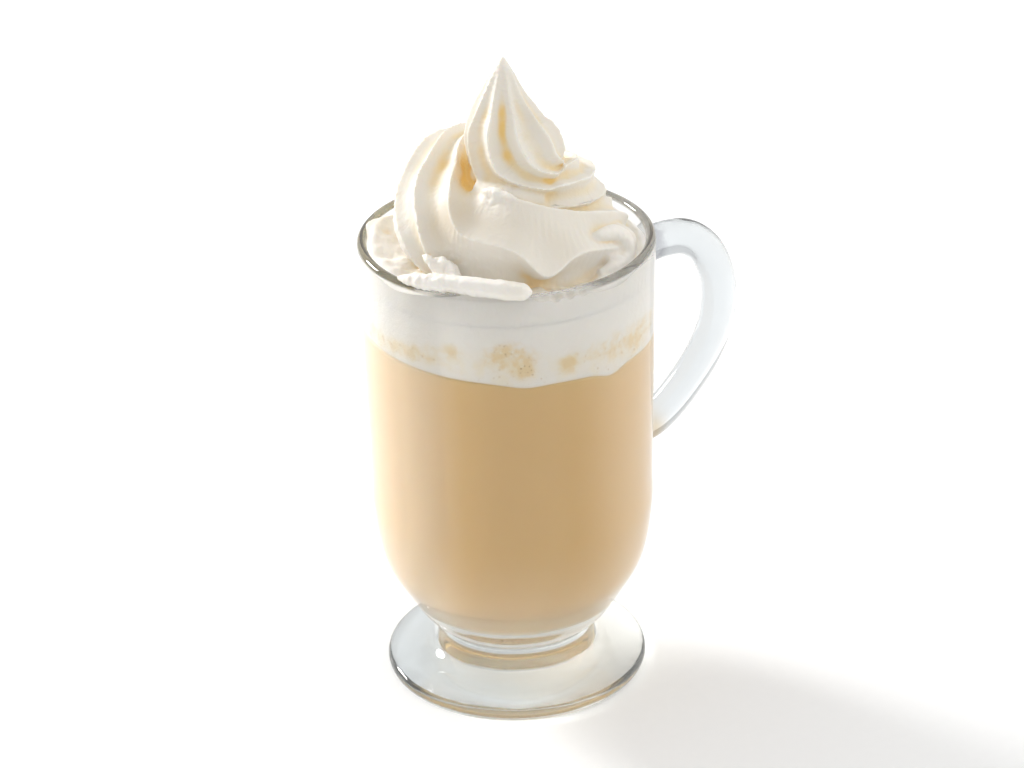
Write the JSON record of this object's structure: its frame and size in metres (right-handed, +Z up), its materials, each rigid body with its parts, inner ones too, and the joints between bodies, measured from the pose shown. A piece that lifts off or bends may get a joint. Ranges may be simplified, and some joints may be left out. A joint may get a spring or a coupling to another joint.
{
  "type": "hazelnut latte",
  "caption": "Footed glass mug with a side handle, filled with milky latte under a band of milk foam and a tall piped swirl of whipped cream.",
  "frame": {"origin": "centre of the mug's underside, on the mug's axis", "axes": "+Z up the mug's axis, +X from the axis toward the handle"},
  "size_m": [0.1086, 0.079, 0.18],
  "materials": {
    "glass": "clear pressed glass, smooth",
    "latte": "opaque milky coffee",
    "milk_foam": "fine white milk foam with faint tan streaks at its lower edge",
    "whipped_cream": "soft satin cream, warmer in the folds"
  },
  "bodies": {
    "root": {"glass_mug": "glass", "latte": "latte", "milk_foam": "milk_foam", "whipped_cream": "whipped_cream"}
  },
  "joints": []
}
